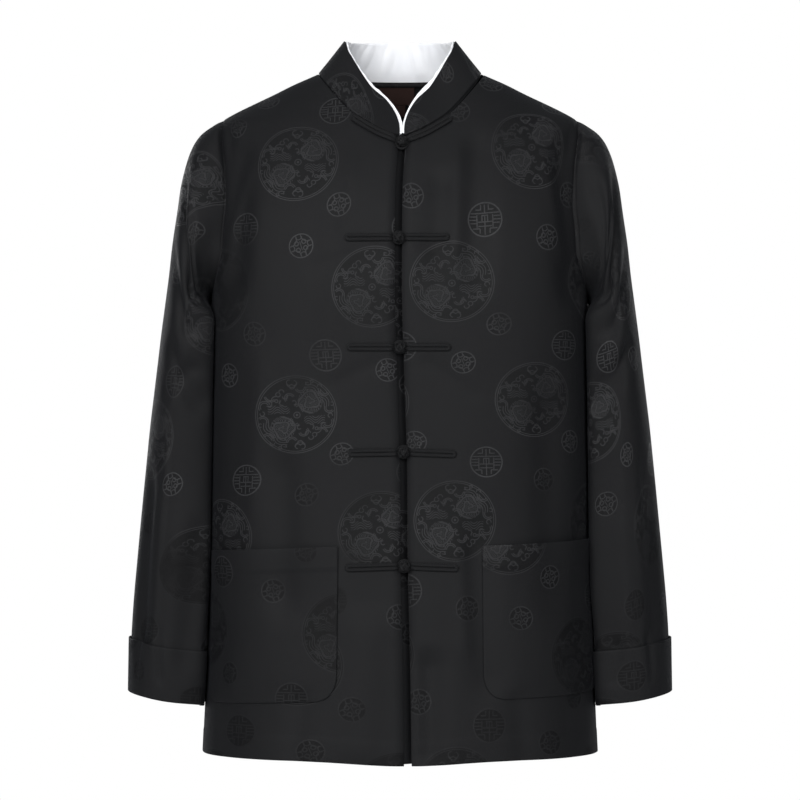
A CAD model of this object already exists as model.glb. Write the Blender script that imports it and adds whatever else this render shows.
# %% [markdown]
# # A tang jacket in black brocade
#
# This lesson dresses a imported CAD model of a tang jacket: a hip-length jacket with a
# stand collar, five knotted frogs, two patch pockets and turned-back cuffs. The CAD
# model gives the sizes and stays where it is. Each cell below makes one piece of cloth
# or cord again as a fine mesh, or one finish, and hides the plain solid it stands for.
#
# Lengths are metres. +Z is up, the front faces -Y, and +X is the wearer's left.

# %% Load the frame
import math

import bmesh
import bpy
import numpy as np
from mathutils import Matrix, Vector, noise


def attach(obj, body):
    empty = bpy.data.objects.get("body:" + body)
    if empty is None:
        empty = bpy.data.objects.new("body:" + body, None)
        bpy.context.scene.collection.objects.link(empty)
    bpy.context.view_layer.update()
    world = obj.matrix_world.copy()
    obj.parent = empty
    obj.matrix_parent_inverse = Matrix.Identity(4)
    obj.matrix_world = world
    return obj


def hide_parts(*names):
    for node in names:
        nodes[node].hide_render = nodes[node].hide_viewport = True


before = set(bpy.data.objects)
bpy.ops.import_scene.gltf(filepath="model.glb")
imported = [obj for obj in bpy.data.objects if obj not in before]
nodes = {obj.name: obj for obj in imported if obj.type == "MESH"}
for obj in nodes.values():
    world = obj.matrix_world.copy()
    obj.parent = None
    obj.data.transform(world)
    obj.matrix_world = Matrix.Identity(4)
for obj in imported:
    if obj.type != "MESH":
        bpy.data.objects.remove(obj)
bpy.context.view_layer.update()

print("CAD nodes:", len(nodes))

# %% [markdown]
# ## Camera, floor and light
#
# A long lens, level with the middle of the jacket, keeps its proportions true. The world
# is plain white to the camera, as the lit wall of a catalogue studio is, and adds only a
# little light of its own. The floor lies where the wearer would stand. The rest of the
# light comes from large soft boxes, because black cloth shows its folds and its woven
# figures only where it mirrors something wide: a key at the front left, a weaker fill at
# the right, one overhead for the shoulders, and two weak ones behind for the back.

# %% Camera
FRAME_WIDTH = 0.84
FRAME_MIDDLE = -0.341
CAMERA_DISTANCE = 3.9
SENSOR_MM = 36.0

camera_data = bpy.data.cameras.new("camera")
camera_data.sensor_width = SENSOR_MM
camera_data.lens = SENSOR_MM * CAMERA_DISTANCE / FRAME_WIDTH
camera = bpy.data.objects.new("camera", camera_data)
camera.location = (0, -CAMERA_DISTANCE, FRAME_MIDDLE)
camera.rotation_euler = (math.pi / 2, 0, 0)
bpy.context.scene.collection.objects.link(camera)
bpy.context.scene.camera = camera
print("lens:", round(camera_data.lens, 1), "mm")

# %% Floor
FLOOR_HEIGHT = -1.45
FLOOR_SIZE = 11.0
FLOOR_COLOUR = (0.80, 0.80, 0.81, 1)

material = bpy.data.materials.new("pale floor")
material.use_nodes = True
shader = material.node_tree.nodes["Principled BSDF"]
shader.inputs["Base Color"].default_value = FLOOR_COLOUR
shader.inputs["Roughness"].default_value = 0.7

bm = bmesh.new()
bmesh.ops.create_grid(bm, x_segments=1, y_segments=1, size=FLOOR_SIZE / 2)
bmesh.ops.translate(bm, verts=bm.verts[:], vec=(0, 0, FLOOR_HEIGHT))
mesh = bpy.data.meshes.new("floor")
bm.to_mesh(mesh)
bm.free()
mesh.materials.append(material)
floor = bpy.data.objects.new("floor", mesh)
bpy.context.scene.collection.objects.link(floor)
print("floor:", FLOOR_SIZE, "m wide, at height", FLOOR_HEIGHT)

# %% World
WORLD_LIGHT = 0.20
WORLD_COLOUR = (0.93, 0.96, 1.0, 1)

world = bpy.data.worlds.new("studio")
world.use_nodes = True
tree = world.node_tree
shown, lights_with = tree.nodes["Background"], tree.nodes.new("ShaderNodeBackground")
shown.inputs["Color"].default_value = (1, 1, 1, 1)
lights_with.inputs["Color"].default_value = WORLD_COLOUR
lights_with.inputs["Strength"].default_value = WORLD_LIGHT
ray, choose = tree.nodes.new("ShaderNodeLightPath"), tree.nodes.new("ShaderNodeMixShader")
tree.links.new(ray.outputs["Is Camera Ray"], choose.inputs["Fac"])
tree.links.new(lights_with.outputs[0], choose.inputs[1])
tree.links.new(shown.outputs[0], choose.inputs[2])
tree.links.new(choose.outputs[0], tree.nodes["World Output"].inputs["Surface"])
bpy.context.scene.world = world
bpy.context.scene.view_settings.view_transform = "Standard"

# %% Soft boxes
SOFT_BOXES = [
    # name, power, width, height, x, y, z
    ("key", 157.0, 2.4, 1.7, -1.35, -3.3, 0.75),
    ("fill", 76.0, 2.2, 1.7, 1.5, -3.3, 0.65),
    ("overhead", 19.0, 2.0, 1.2, -0.2, -0.9, 2.0),
    ("behind right", 14.0, 1.4, 2.0, -1.7, 3.6, 0.3),
    ("behind left", 7.0, 1.4, 2.0, 1.7, 3.6, 0.3),
]

for name, power, width, height, *place in SOFT_BOXES:
    light = bpy.data.lights.new(name, "AREA")
    light.shape = "RECTANGLE"
    light.energy, light.size, light.size_y = power, width, height
    lamp = bpy.data.objects.new(name, light)
    lamp.location = place
    aim = Vector((0, 0, FRAME_MIDDLE)) - lamp.location
    lamp.rotation_euler = aim.to_track_quat("-Z", "Y").to_euler()
    bpy.context.scene.collection.objects.link(lamp)
print("soft boxes:", len(SOFT_BOXES))

# %% [markdown]
# ## The maker's sizes
#
# These are the sizes that the solids were made with, so each fine piece lies in its
# solid's place. A jacket is drafted flat: half its girth across, and its height from the
# underarm line up and down. The tables shape the body that fills it. They are written in
# millimetres, apart from degrees and the squareness of an oval, which has no unit.

# %% Driving sizes
SIDES = ((-1, "right"), (1, "left"))
BODY_LENGTH = 0.712
HEM_RISE = 0.0045
HEM_RISE_FROM = 0.060
UNDERARM = -0.240
CLOTH = 0.0012
DOUBLE_CLOTH = 0.0016
SATIN = 0.0010
SEAM = 0.0003
OPENING = 0.0048
UNDERLAP_WIDTH = 0.034
NECK_HALF_WIDTH = 0.0855
COLLAR_HEIGHT = 0.044
COLLAR_TOP_HALF_WIDTH = 0.0585
COLLAR_TOP_FRONT = 0.058
COLLAR_TOP_BACK = 0.053
COLLAR_CORNER = 0.030
COLLAR_END_SHARE = 0.20
COLLAR_ABOVE_SEAM = 0.0009
COLLAR_OUT = 0.0004
COLLAR_FOLLOWS = 0.12
LINER_PROUD = 0.0052
LINER_PROUD_BACK = 0.0015
LINER_PROUD_AT = 0.035
LINER_PROUD_END = 0.012
CUFF_HEIGHT = 0.056
CUFF_EASE = 0.0010
CUFF_BELOW = 0.0004
POCKET_WIDTH = 0.155
POCKET_HEIGHT = 0.157
POCKET_CORNER = 0.026
KNOT_DIAMETER = 0.0118
STRAP_HEIGHT = 0.0080
LOOP_RADIUS = 0.0056
LOOP_CORD = 0.0032
BELOW_COLLAR = 0.0056

# %% Tables of the filled-out body and its outlines
BODY_SECTIONS = np.array([
    # height, side, front, back, squareness
    (40, 12, 30, 40, 2), (1, 85.5, 49, 66, 2), (-10.5, 111.3, 56, 74, 2),
    (-21, 132.3, 62, 81, 2), (-31.5, 154.4, 68, 88, 2.05), (-42, 175.4, 74, 94.5, 2.1),
    (-48, 185, 77.5, 98, 2.2), (-55, 190, 81.5, 102, 2.35), (-70, 192.5, 89.5, 109, 2.6),
    (-100, 194, 104, 120, 2.8), (-140, 195.5, 118, 129, 2.95), (-190, 196.5, 127, 133, 3),
    (-240, 196.8, 130.5, 132, 3), (-340, 196.8, 129, 127, 2.95),
    (-450, 198.5, 130, 127, 2.75), (-600, 202.5, 136, 134, 2.55), (-740, 208, 142, 141, 2.45),
]) / (1000, 1000, 1000, 1000, 1)
SIDE_ABOVE = -0.0550

FRONT_NECKLINE = np.array([
    # out, height
    (0, -70), (11.8, -65.8), (21.6, -61.6), (34.2, -54.4), (46.5, -46.2), (54.8, -38.3),
    (62.4, -29.9), (73.1, -16.8), (82, -5), (85.5, 1),
]) / 1000
BACK_NECKLINE = np.array([
    # out, height
    (0, -3), (30, -2.8), (56, -1.8), (74, -0.5), (85.5, 1),
]) / 1000
ARMHOLE = np.array([
    # height, forward, backward
    (-47, 0, 0), (-52, 19, 19), (-62, 30, 32), (-80, 43, 48), (-110, 58, 65), (-150, 69, 76),
    (-185, 69, 76), (-212, 56, 62), (-230, 33, 36), (-240, 0, 0),
]) / 1000
OPENING_LINE = np.array([
    # height, sideways
    (0, 2), (-69, 2), (-120, -0.8), (-230, -1.6), (-320, 1), (-410, 3.7), (-500, 4.2),
    (-600, 6.3), (-740, 7.9),
]) / 1000
COLLAR_TOP = np.array([
    # degrees round the neck, height
    (0, -36), (10, -34), (21, -27.3), (34, -16), (46, 0), (66, 21), (90, 35), (130, 38.5),
    (180, 39.6),
]) / (1, 1000)

# %% Table of the sleeve
SLEEVE_SLICES = np.array([
    # outer_out, outer_height, under_height, half_depth, backward, squareness
    (193.5, -52, -241.2, 78, 0, 2), (209.5, -64, -243, 80, 0, 2), (220, -82, -245, 82, 0, 2),
    (228.5, -112, -248, 84, 1, 2.05), (233.5, -145, -253, 86, 2, 2.1),
    (238.5, -178, -260, 87, 4, 2.15), (242, -210, -270, 87, 5, 2.2),
    (246, -240, -284, 86, 6, 2.2), (250, -270, -303, 85, 7, 2.2),
    (254, -303, -326, 83, 8, 2.2), (258, -335, -353, 81, 9, 2.2),
    (262, -368, -382, 79, 9, 2.2), (265.5, -402, -413, 77, 9, 2.2),
    (269, -437, -447, 75, 8, 2.2), (272.3, -472, -482, 73, 6, 2.2),
    (275.7, -508, -518.5, 70, 5, 2.2), (279, -544, -555, 67, 4, 2.15),
    (281.5, -580, -592.5, 64, 3, 2.1), (282.6, -614, -628, 61, 1, 2.1),
    (283.6, -645, -660.5, 58, 0, 2.1),
]) / (1000, 1000, 1000, 1000, 1000, 1)
SLEEVE_CLEAR = 0.0026
SLEEVE_EASES_IN = 3

# %% [markdown]
# ## Small mathematics
#
# A table's column becomes a smooth curve that never overshoots its rows, and a line of
# points can be spaced evenly. numpy does this for thousands of points at once, which is
# far quicker than a loop over vertices.

# %% Curves and spacing
def curve_through(rows, column, at):
    key, value = rows[np.argsort(rows[:, 0])][:, (0, column)].T
    step = np.diff(key)
    rise = np.diff(value) / step
    slope = np.concatenate(([rise[0]], (rise[:-1] + rise[1:]) / 2, [rise[-1]]))
    turns = rise[:-1] * rise[1:] <= 0
    slope[1:-1][turns] = 0
    steepest = 3 * np.minimum(abs(rise[:-1]), abs(rise[1:]))
    slope[1:-1] = np.clip(slope[1:-1], -steepest, steepest)
    at = np.clip(at, key[0], key[-1])
    cell = np.clip(np.searchsorted(key, at, side="right") - 1, 0, len(step) - 1)
    t = (at - key[cell]) / step[cell]
    return (
        value[cell] * (1 + 2 * t) * (1 - t) ** 2
        + slope[cell] * step[cell] * t * (1 - t) ** 2
        + value[cell + 1] * t * t * (3 - 2 * t)
        + slope[cell + 1] * step[cell] * t * t * (t - 1)
    )


def unit(vectors):
    return vectors / np.linalg.norm(vectors, axis=-1, keepdims=True)


def running_length(points):
    steps = np.linalg.norm(np.diff(points, axis=0), axis=1)
    return np.concatenate(([0.0], np.cumsum(steps)))


def spaced(points, shares):
    points = np.asarray(points, float)
    length = running_length(points)
    at = np.asarray(shares) * length[-1]
    return np.stack([np.interp(at, length, axis) for axis in points.T], axis=-1)


def smooth_step(low, high, value):
    t = np.clip((value - low) / (high - low), 0, 1)
    return t * t * (3 - 2 * t)


def smooth_rows(grid, rows):
    """More rows through a grid's own rows, on a curve with no corners (Catmull-Rom)."""
    padded = np.concatenate([2 * grid[:1] - grid[1:2], grid, 2 * grid[-1:] - grid[-2:-1]])
    at = np.linspace(0, len(grid) - 1, rows)
    first = np.minimum(at.astype(int), len(grid) - 2)
    t = (at - first)[:, None, None]
    a, b, c, d = (padded[first + n] for n in range(4))
    return 0.5 * (
        2 * b + (c - a) * t + (2 * a - 5 * b + 4 * c - d) * t**2
        + (3 * b - a - 3 * c + d) * t**3
    )


# %% Normals of a grid
def grid_normals(grid, around=False):
    if around:
        wrapped = np.concatenate([grid[:, -2:-1], grid, grid[:, 1:2]], axis=1)
        across = wrapped[:, 2:] - wrapped[:, :-2]
    else:
        across = np.gradient(grid, axis=1)
    along = np.gradient(grid, axis=0)
    return unit(np.cross(across, along))


# %% [markdown]
# ## The body, and flat cloth carried onto it
#
# Each level of the body is a rounded oval. lift() takes a point of flat cloth, across
# from the centre and up from the underarm line, and lays it on the body, so cloth keeps
# its size. The same flat numbers are kept as the piece's UV map, in metres of cloth, and
# the brocade's pattern is drawn on that: it runs over folds as woven cloth does.

# %% Sections of the body
SIDE, FRONT, BACK, SQUARENESS = 1, 2, 3, 4


def section(height, column):
    return curve_through(BODY_SECTIONS, column, np.asarray(height, float))


def column_reach(height):
    return section(np.minimum(height, SIDE_ABOVE), SIDE)


def depth_at(out, height, face):
    power = section(height, SQUARENESS)
    share = np.clip(abs(out) / section(height, SIDE), 0, 1)
    return section(height, face) * (1 - share**power) ** (1 / power)


def side_at(depth, height, face):
    power = section(height, SQUARENESS)
    share = np.clip(abs(depth) / section(height, face), 0, 1)
    return section(height, SIDE) * (1 - share**power) ** (1 / power)


def body_normals(points, face):
    def inside(x, y, z):
        power = section(z, SQUARENESS)
        side = abs(x) / section(z, SIDE)
        return side**power + (abs(y) / section(z, face)) ** power

    x, y, z = np.moveaxis(points, -1, 0)
    tiny = 1e-5
    slope = [
        inside(x + tiny, y, z) - inside(x - tiny, y, z),
        inside(x, y + tiny, z) - inside(x, y - tiny, z),
        inside(x, y, z + tiny) - inside(x, y, z - tiny),
    ]
    return unit(np.stack(slope, axis=-1))


# %% Flat cloth to body, and back
def half_girth(face):
    turn = np.linspace(0, math.pi / 2, 400)
    reach, depth = section(UNDERARM, SIDE), section(UNDERARM, face)
    power = section(UNDERARM, SQUARENESS)
    radius = (
        (np.sin(turn) / reach) ** power + (np.cos(turn) / depth) ** power
    ) ** (-1 / power)
    line = np.stack([radius * np.sin(turn), radius * np.cos(turn)], axis=-1)
    share = line[:, 0] / reach
    share[-1] = 1.0
    return running_length(line), share


GIRTH = {face: half_girth(face) for face in (FRONT, BACK)}
print("half girths:", [round(float(GIRTH[face][0][-1]), 4) for face in (FRONT, BACK)])


def columns_up(share, face, steps=110):
    """For each share of the reach: heights up its column, and the cloth's length to them."""
    heights = np.linspace(0.04, SIDE_ABOVE, 300)
    ridge = np.interp(share * column_reach(SIDE_ABOVE), section(heights, SIDE), heights)
    rise = np.sin(np.linspace(0, math.pi / 2, steps))
    height = UNDERARM + (ridge[..., None] - UNDERARM) * rise
    out = share[..., None] * column_reach(height)
    column = np.stack([out, depth_at(out, height, face), height], axis=-1)
    steps_up = np.linalg.norm(np.diff(column, axis=-2), axis=-1)
    start = np.zeros(steps_up.shape[:-1] + (1,))
    return height, np.concatenate([start, np.cumsum(steps_up, axis=-1)], axis=-1)


def lift(across, up, face):
    across, up = np.broadcast_arrays(np.asarray(across, float), np.asarray(up, float))
    share = np.interp(abs(across), *GIRTH[face])
    z = UNDERARM + up
    above = up > 0
    height, length = columns_up(share[above], face)
    z[above] = [np.interp(u, l, h) for u, l, h in zip(up[above], length, height)]
    out = np.minimum(share * column_reach(z), section(z, SIDE))
    y = depth_at(out, z, face) * (-1 if face == FRONT else 1)
    y[above] *= up[above] < length[:, -1] - 1e-6
    return np.stack([out * np.sign(across + 1e-12), y, z], axis=-1)


def flatten(out, height, face):
    out, height = np.asarray(out, float), np.asarray(height, float)
    share = np.clip(out / column_reach(height), 0, 1)
    length, reach_share = GIRTH[face]
    heights, lengths = columns_up(share, face)
    up = [np.interp(z, row, l) for z, row, l in zip(height, heights, lengths)]
    up = np.where(height < UNDERARM, height - UNDERARM, up)
    return np.stack([np.interp(share, reach_share, length), up], axis=-1)


# %% Outlines of half a panel, flat
def neckline(face, count=40):
    rows = FRONT_NECKLINE if face == FRONT else BACK_NECKLINE
    out = NECK_HALF_WIDTH * np.sin(np.linspace(0, math.pi / 2, count))
    return flatten(out, curve_through(rows, 1, out), face)


def armhole(face, count=80):
    bend = np.linspace(math.pi, 0, count)
    low, high = ARMHOLE[-1][0], ARMHOLE[0][0]
    height = (low + high) / 2 + (high - low) / 2 * np.cos(bend)
    depth = curve_through(ARMHOLE, 1 if face == FRONT else 2, height)
    depth[[0, -1]] = 0
    out = side_at(depth, height, face)
    out[-1] = min(out[-1], float(section(height[-1], SIDE)))
    return flatten(out, height, face)


def shoulder(face, start, end, count=24):
    across = np.linspace(start[0], end[0], count)
    share = np.interp(across, *GIRTH[face])
    _, lengths = columns_up(share, face)
    return np.stack([across, lengths[:, -1]], axis=-1)


def hem_up(across):
    rise = HEM_RISE * (1 - np.exp(-((across / HEM_RISE_FROM) ** 2)))
    return rise - (BODY_LENGTH + UNDERARM)


# %% [markdown]
# ## Half a panel as a flat grid
#
# The cloth between four outlines is filled with a grid: hem to underarm in straight
# rows, then a patch blended between centre line, armhole, neckline and shoulder seam.
# Cells are about 3 to 4 mm, fine enough for soft folds.

# %% The panel's grid
def half_pattern(face, cells):
    neck_cells, shoulder_cells, down_cells, up_cells = cells
    arm = armhole(face)
    neck = neckline(face)
    seam = shoulder(face, neck[-1], arm[-1], shoulder_cells + 1)
    neck = spaced(neck, np.linspace(0, 1, neck_cells + 1))
    top = np.concatenate([neck, seam[1:]])
    right = spaced(arm, np.linspace(0, 1, up_cells + 1))
    top[-1] = right[-1] = (right[-1, 0], seam[-1, 1])
    c = np.linspace(0, 1, neck_cells + shoulder_cells + 1)
    bottom = np.stack([right[0, 0] * c, np.zeros_like(c)], axis=-1)
    v = np.linspace(0, 1, up_cells + 1)
    left = np.stack([np.zeros_like(v), top[0, 1] * v], axis=-1)
    c, v = c[None, :, None], v[:, None, None]
    upper = (
        (1 - v) * bottom[None] + v * top[None] + (1 - c) * left[:, None] + c * right[:, None]
        - (1 - c) * (1 - v) * bottom[0] - c * (1 - v) * bottom[-1]
        - (1 - c) * v * top[0] - c * v * top[-1]
    )
    down = np.linspace(1, 0, down_cells + 1)[:-1, None]
    across = bottom[None, :, 0]
    lower = np.stack(np.broadcast_arrays(across, down * hem_up(across)), axis=-1)
    return np.concatenate([lower, upper])


def opening_at(height):
    return curve_through(OPENING_LINE, 1, height)


# %% [markdown]
# ## Folds
#
# The large folds lie where the solids have them, and are a little deeper than theirs:
# each is a soft trough or ridge along a line. Finer creases are listed apart, and a
# gentle unevenness, longer than it is wide, runs all over, because no hanging cloth is
# smooth. Creases fade out at the seams, so that neighbouring pieces still meet. All
# lengths in these tables are millimetres.

# %% Fold tables
PANEL_FOLDS = {
    # out_1, height_1, out_2, height_2, half_width, rise
    "front_right": [
        (-163, -75, -170, -230, 14, -5.4), (-62, -130, -75, -340, 20, -4.1),
        (-120, -400, -116, -560, 17, -4.7), (-30, -560, -45, -712, 22, 4.1),
    ],
    "front_left": [
        (166, -75, 178, -240, 14, -6.8), (80, -70, 76, -230, 16, -4.7),
        (42, -110, 36, -220, 14, -3.4), (75, -470, 90, -640, 18, -4.7),
        (30, -600, 29, -712, 14, -5.4), (150, -330, 160, -560, 20, -4.7),
    ],
    "back": [
        (160, -80, 172, -250, 16, -6.1), (-158, -80, -170, -250, 16, -6.1),
        (70, -300, 60, -640, 24, -5.4), (-85, -240, -70, -560, 22, -4.7),
        (-10, -420, -15, -712, 24, 4.1), (140, -420, 130, -712, 20, -4.7),
    ],
}
SLEEVE_FOLDS = [
    # turn_1, run_1, turn_2, run_2, half_width, rise
    (30, 0.1, 110, 0.26, 13, -6), (35, 0.24, 100, 0.36, 14, -4.8),
    (60, 0.4, 120, 0.5, 15, -4.2), (40, 0.62, 52, 0.9, 14, -4.2),
    (250, 0.12, 330, 0.06, 13, -6), (240, 0.4, 310, 0.32, 15, -4.8),
    (300, 0.55, 290, 0.85, 15, -4.2),
]

# %% Finer creases of the panels
PANEL_CREASES = {
    # out_1, height_1, out_2, height_2, half_width, rise
    "front_right": [
        (-176, -60, -186, -120, 6, -2.4), (-155, -100, -183, -190, 7, 2.1),
        (-45, -90, -60, -180, 9, 1.5), (-20, -185, -90, -205, 7, -1.2),
        (-18, -300, -75, -330, 8, -1.2), (-140, -300, -150, -470, 12, 1.8),
        (-100, -640, -108, -712, 10, -2.1), (-185, -560, -180, -712, 12, -2.4),
    ],
    "front_left": [
        (178, -60, 190, -150, 6, -3), (150, -85, 170, -200, 8, 2.1),
        (60, -80, 56, -200, 9, 1.8), (20, -180, 90, -215, 8, -1.2),
        (24, -300, 80, -340, 8, -1.2), (60, -480, 66, -600, 8, 2.1),
        (120, -640, 126, -712, 12, -2.4), (186, -480, 180, -700, 12, -2.7),
    ],
    "back": [
        (20, -60, 120, -80, 12, -1.8), (-30, -70, -120, -95, 12, -1.8),
        (110, -120, 170, -200, 10, 2.4), (-110, -120, -165, -200, 10, 2.4),
        (20, -250, 110, -300, 14, -2.1), (-150, -400, -140, -690, 14, -2.7),
    ],
}

# %% Fold functions
def fold_rise(across, up, line, half_width, rise):
    (a1, u1), (a2, u2) = line
    length = math.hypot(a2 - a1, u2 - u1)
    run = ((across - a1) * (a2 - a1) + (up - u1) * (u2 - u1)) / length**2
    off = ((across - a1) * (u2 - u1) - (up - u1) * (a2 - a1)) / length
    ends = smooth_step(0, 1, (0.5 - abs(run - 0.5)) * 4 + 0.5)
    return rise * np.exp(-((off / half_width) ** 2)) * ends


def listed_folds(points, table):
    rise = np.zeros(points.shape[:-1])
    for out_1, height_1, out_2, height_2, half_width, depth in np.array(table) / 1000:
        line = ((out_1, height_1), (out_2, height_2))
        rise += fold_rise(points[..., 0], points[..., 2], line, half_width, depth)
    return rise


UNEVEN = [
    # width, length, height of the unevenness
    (0.085, 0.240, 0.00150),
    (0.038, 0.110, 0.00070),
    (0.014, 0.040, 0.00022),
]


def noise_at(x, y, z):
    """Smooth noise at every point whose coordinates are in three arrays."""
    x, y, z = np.broadcast_arrays(x, y, z)
    values = [noise.noise(Vector(point)) for point in zip(x.ravel(), y.ravel(), z.ravel())]
    return np.reshape(values, x.shape)


def uneven(across, along, seed):
    """Gentle unevenness of hanging cloth: three sizes of smooth noise, stretched along."""
    total = np.zeros(across.shape)
    for width, length, height in UNEVEN:
        total += height * noise_at(across / width, along / length, seed)
    return total


# %% [markdown]
# ## Cloth walls
#
# A wall is a create_grid whose vertices are moved to the inner side, then extruded as
# one region to the outer side. That gives a closed piece of cloth with real edges. The
# edges are bevelled, because a folded edge of brocade is round and catches the light.
# sew() also writes down the flat cloth that a piece is cut from: the box round the cut,
# its area, and what it lies on or hangs from.

# %% From grid to wall
def wall_mesh(outer, inner, cloth, around=False):
    """A closed wall between two grids of points; cloth is its flat grid, kept as UVs."""
    rows, columns = outer.shape[:2]
    bm = bmesh.new()
    bmesh.ops.create_grid(bm, x_segments=columns - 1, y_segments=rows - 1, size=1)
    number = bm.verts.layers.int.new("number")
    uv = bm.loops.layers.uv.new("cloth")
    flat_inner, flat_outer = inner.reshape(-1, 3), outer.reshape(-1, 3)
    flat_cloth = cloth.reshape(-1, 2)
    for n, vert in enumerate(bm.verts):
        vert[number] = n
        vert.co = flat_inner[n]
        for loop in vert.link_loops:
            loop[uv].uv = flat_cloth[n]
    if around:
        bmesh.ops.remove_doubles(bm, verts=bm.verts[:], dist=1e-7)
    grown = bmesh.ops.extrude_face_region(bm, geom=bm.faces[:])
    for vert in (g for g in grown["geom"] if isinstance(g, bmesh.types.BMVert)):
        vert.co = flat_outer[vert[number]]
    bmesh.ops.recalc_face_normals(bm, faces=bm.faces[:])
    return bm


def finish_piece(name, bm, finish, replaced):
    """Makes a smooth-shaded piece of a mesh, in the place of one CAD node."""
    bmesh.ops.recalc_face_normals(bm, faces=bm.faces[:])
    mesh = bpy.data.meshes.new(name)
    bm.to_mesh(mesh)
    bm.free()
    mesh.materials.append(FINISHES[finish])
    mesh.shade_smooth()
    piece = bpy.data.objects.new(name, mesh)
    bpy.context.scene.collection.objects.link(piece)
    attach(piece, "root")
    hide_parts(replaced)
    print(f"{name}: {len(mesh.polygons)} faces")
    return piece


# %% Sewing a piece of cloth
EDGE_ROUND = 0.00042
EDGE_ANGLE = math.radians(55)


def flat_area(cloth):
    """The area of a grid of flat cloth, from the two diagonals of each cell."""
    a, b = cloth[1:, 1:] - cloth[:-1, :-1], cloth[1:, :-1] - cloth[:-1, 1:]
    return float(abs(a[..., 0] * b[..., 1] - a[..., 1] * b[..., 0]).sum() / 2)


def sew(name, outer, inner, cloth, replaced, pattern=None, finish="brocade",
        edge=EDGE_ROUND, around=False):
    """A piece of cloth with round edges; pattern says where its figures fall."""
    bm = wall_mesh(outer, inner, cloth if pattern is None else pattern, around)
    rim = [e for e in bm.edges if e.is_manifold and e.calc_face_angle() > EDGE_ANGLE]
    bmesh.ops.bevel(bm, geom=rim, offset=edge, offset_type="OFFSET", segments=2,
                    profile=0.5, affect="EDGES", material=-1, clamp_overlap=True)
    piece = finish_piece(name, bm, finish, replaced)
    area = flat_area(cloth)


# %% [markdown]
# ## Patterns written as formulas
#
# A woven pattern follows a few rules: what repeats, how far apart, how wide each line
# is. In the shader such rules are Math nodes. This small class lets them be written as
# formulas, so that (a - b).size() makes the two nodes for the distance between a and b.

# %% A number in the shader
class Number:
    """A number that the shader works out at every point of the surface."""

    def __init__(self, tree, socket):
        self.tree, self.socket = tree, socket

    def then(self, operation, *others, clamp=False):
        node = self.tree.nodes.new("ShaderNodeMath")
        node.operation, node.use_clamp = operation, clamp
        for socket, value in zip(node.inputs, (self, *others)):
            plug(self.tree, value, socket)
        return Number(self.tree, node.outputs[0])

    def __add__(self, other): return self.then("ADD", other)

    def __sub__(self, other): return self.then("SUBTRACT", other)

    def __mul__(self, other): return self.then("MULTIPLY", other)

    def near(self, value, within): return self.then("COMPARE", value, within)

    def below(self, value): return self.then("LESS_THAN", value)

    def above(self, value): return self.then("GREATER_THAN", value)

    def size(self): return self.then("ABSOLUTE")

    def most(self, other): return self.then("MAXIMUM", other)

    def rounded(self): return self.then("ROUND")

    def share(self): return self.then("FRACT")

    def wave(self): return self.then("SINE")


def plug(tree, value, socket):
    if isinstance(value, Number):
        tree.links.new(value.socket, socket)
    else:
        socket.default_value = value


def hypotenuse(x, y):
    """How far a point is from the middle."""
    return (x * x + y * y).then("SQRT")


def any_of(marks):
    """1 where any of the marks is 1: the greatest of them, taken in pairs."""
    while len(marks) > 1:
        pairs = zip(marks[::2], marks[1::2])
        marks = [a.most(b) for a, b in pairs] + marks[len(marks) // 2 * 2:]
    return marks[0]


# %% Materials and their cloth coordinates
def new_material(name):
    material = bpy.data.materials.new(name)
    material.use_nodes = True
    tree = material.node_tree
    return material, tree, tree.nodes["Principled BSDF"]


def cloth_place(tree):
    """The flat cloth's own two coordinates, in millimetres."""
    uv = tree.nodes.new("ShaderNodeUVMap")
    uv.uv_map = "cloth"
    parts = tree.nodes.new("ShaderNodeSeparateXYZ")
    tree.links.new(uv.outputs["UV"], parts.inputs[0])
    u, v = (Number(tree, parts.outputs[n]) for n in (0, 1))
    return u * 1000.0, v * 1000.0


def mixed(tree, share, low, high):
    """A colour that lies a share of the way from low to high."""
    mix = tree.nodes.new("ShaderNodeMix")
    mix.data_type = "RGBA"
    plug(tree, share, mix.inputs["Factor"])
    for value, socket in ((low, mix.inputs["A"]), (high, mix.inputs["B"])):
        if isinstance(value, Number):
            tree.links.new(value.socket, socket)
        else:
            socket.default_value = (*value, 1)
    return Number(tree, mix.outputs["Result"])


def noise_number(tree, scale, detail=2.0, roughness=0.5, stretch=(1, 1, 1)):
    """Smooth noise over the piece itself; scale is in cycles per metre."""
    place = tree.nodes.new("ShaderNodeTexCoord")
    mapping = tree.nodes.new("ShaderNodeMapping")
    mapping.inputs["Scale"].default_value = stretch
    tree.links.new(place.outputs["Object"], mapping.inputs["Vector"])
    texture = tree.nodes.new("ShaderNodeTexNoise")
    for key, value in (("Scale", scale), ("Detail", detail), ("Roughness", roughness)):
        texture.inputs[key].default_value = value
    tree.links.new(mapping.outputs["Vector"], texture.inputs["Vector"])
    return Number(tree, texture.outputs["Fac"])


def height_number(tree):
    """How high a point of the piece lies, in metres."""
    place = tree.nodes.new("ShaderNodeTexCoord")
    parts = tree.nodes.new("ShaderNodeSeparateXYZ")
    tree.links.new(place.outputs["Object"], parts.inputs[0])
    return Number(tree, parts.outputs[2])


def bump(tree, shader, height, distance, strength):
    """Relief too fine for the mesh: threads a few hundredths of a millimetre high."""
    node = tree.nodes.new("ShaderNodeBump")
    node.inputs["Distance"].default_value = distance
    node.inputs["Strength"].default_value = strength
    plug(tree, height, node.inputs["Height"])
    tree.links.new(node.outputs["Normal"], shader.inputs["Normal"])


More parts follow.
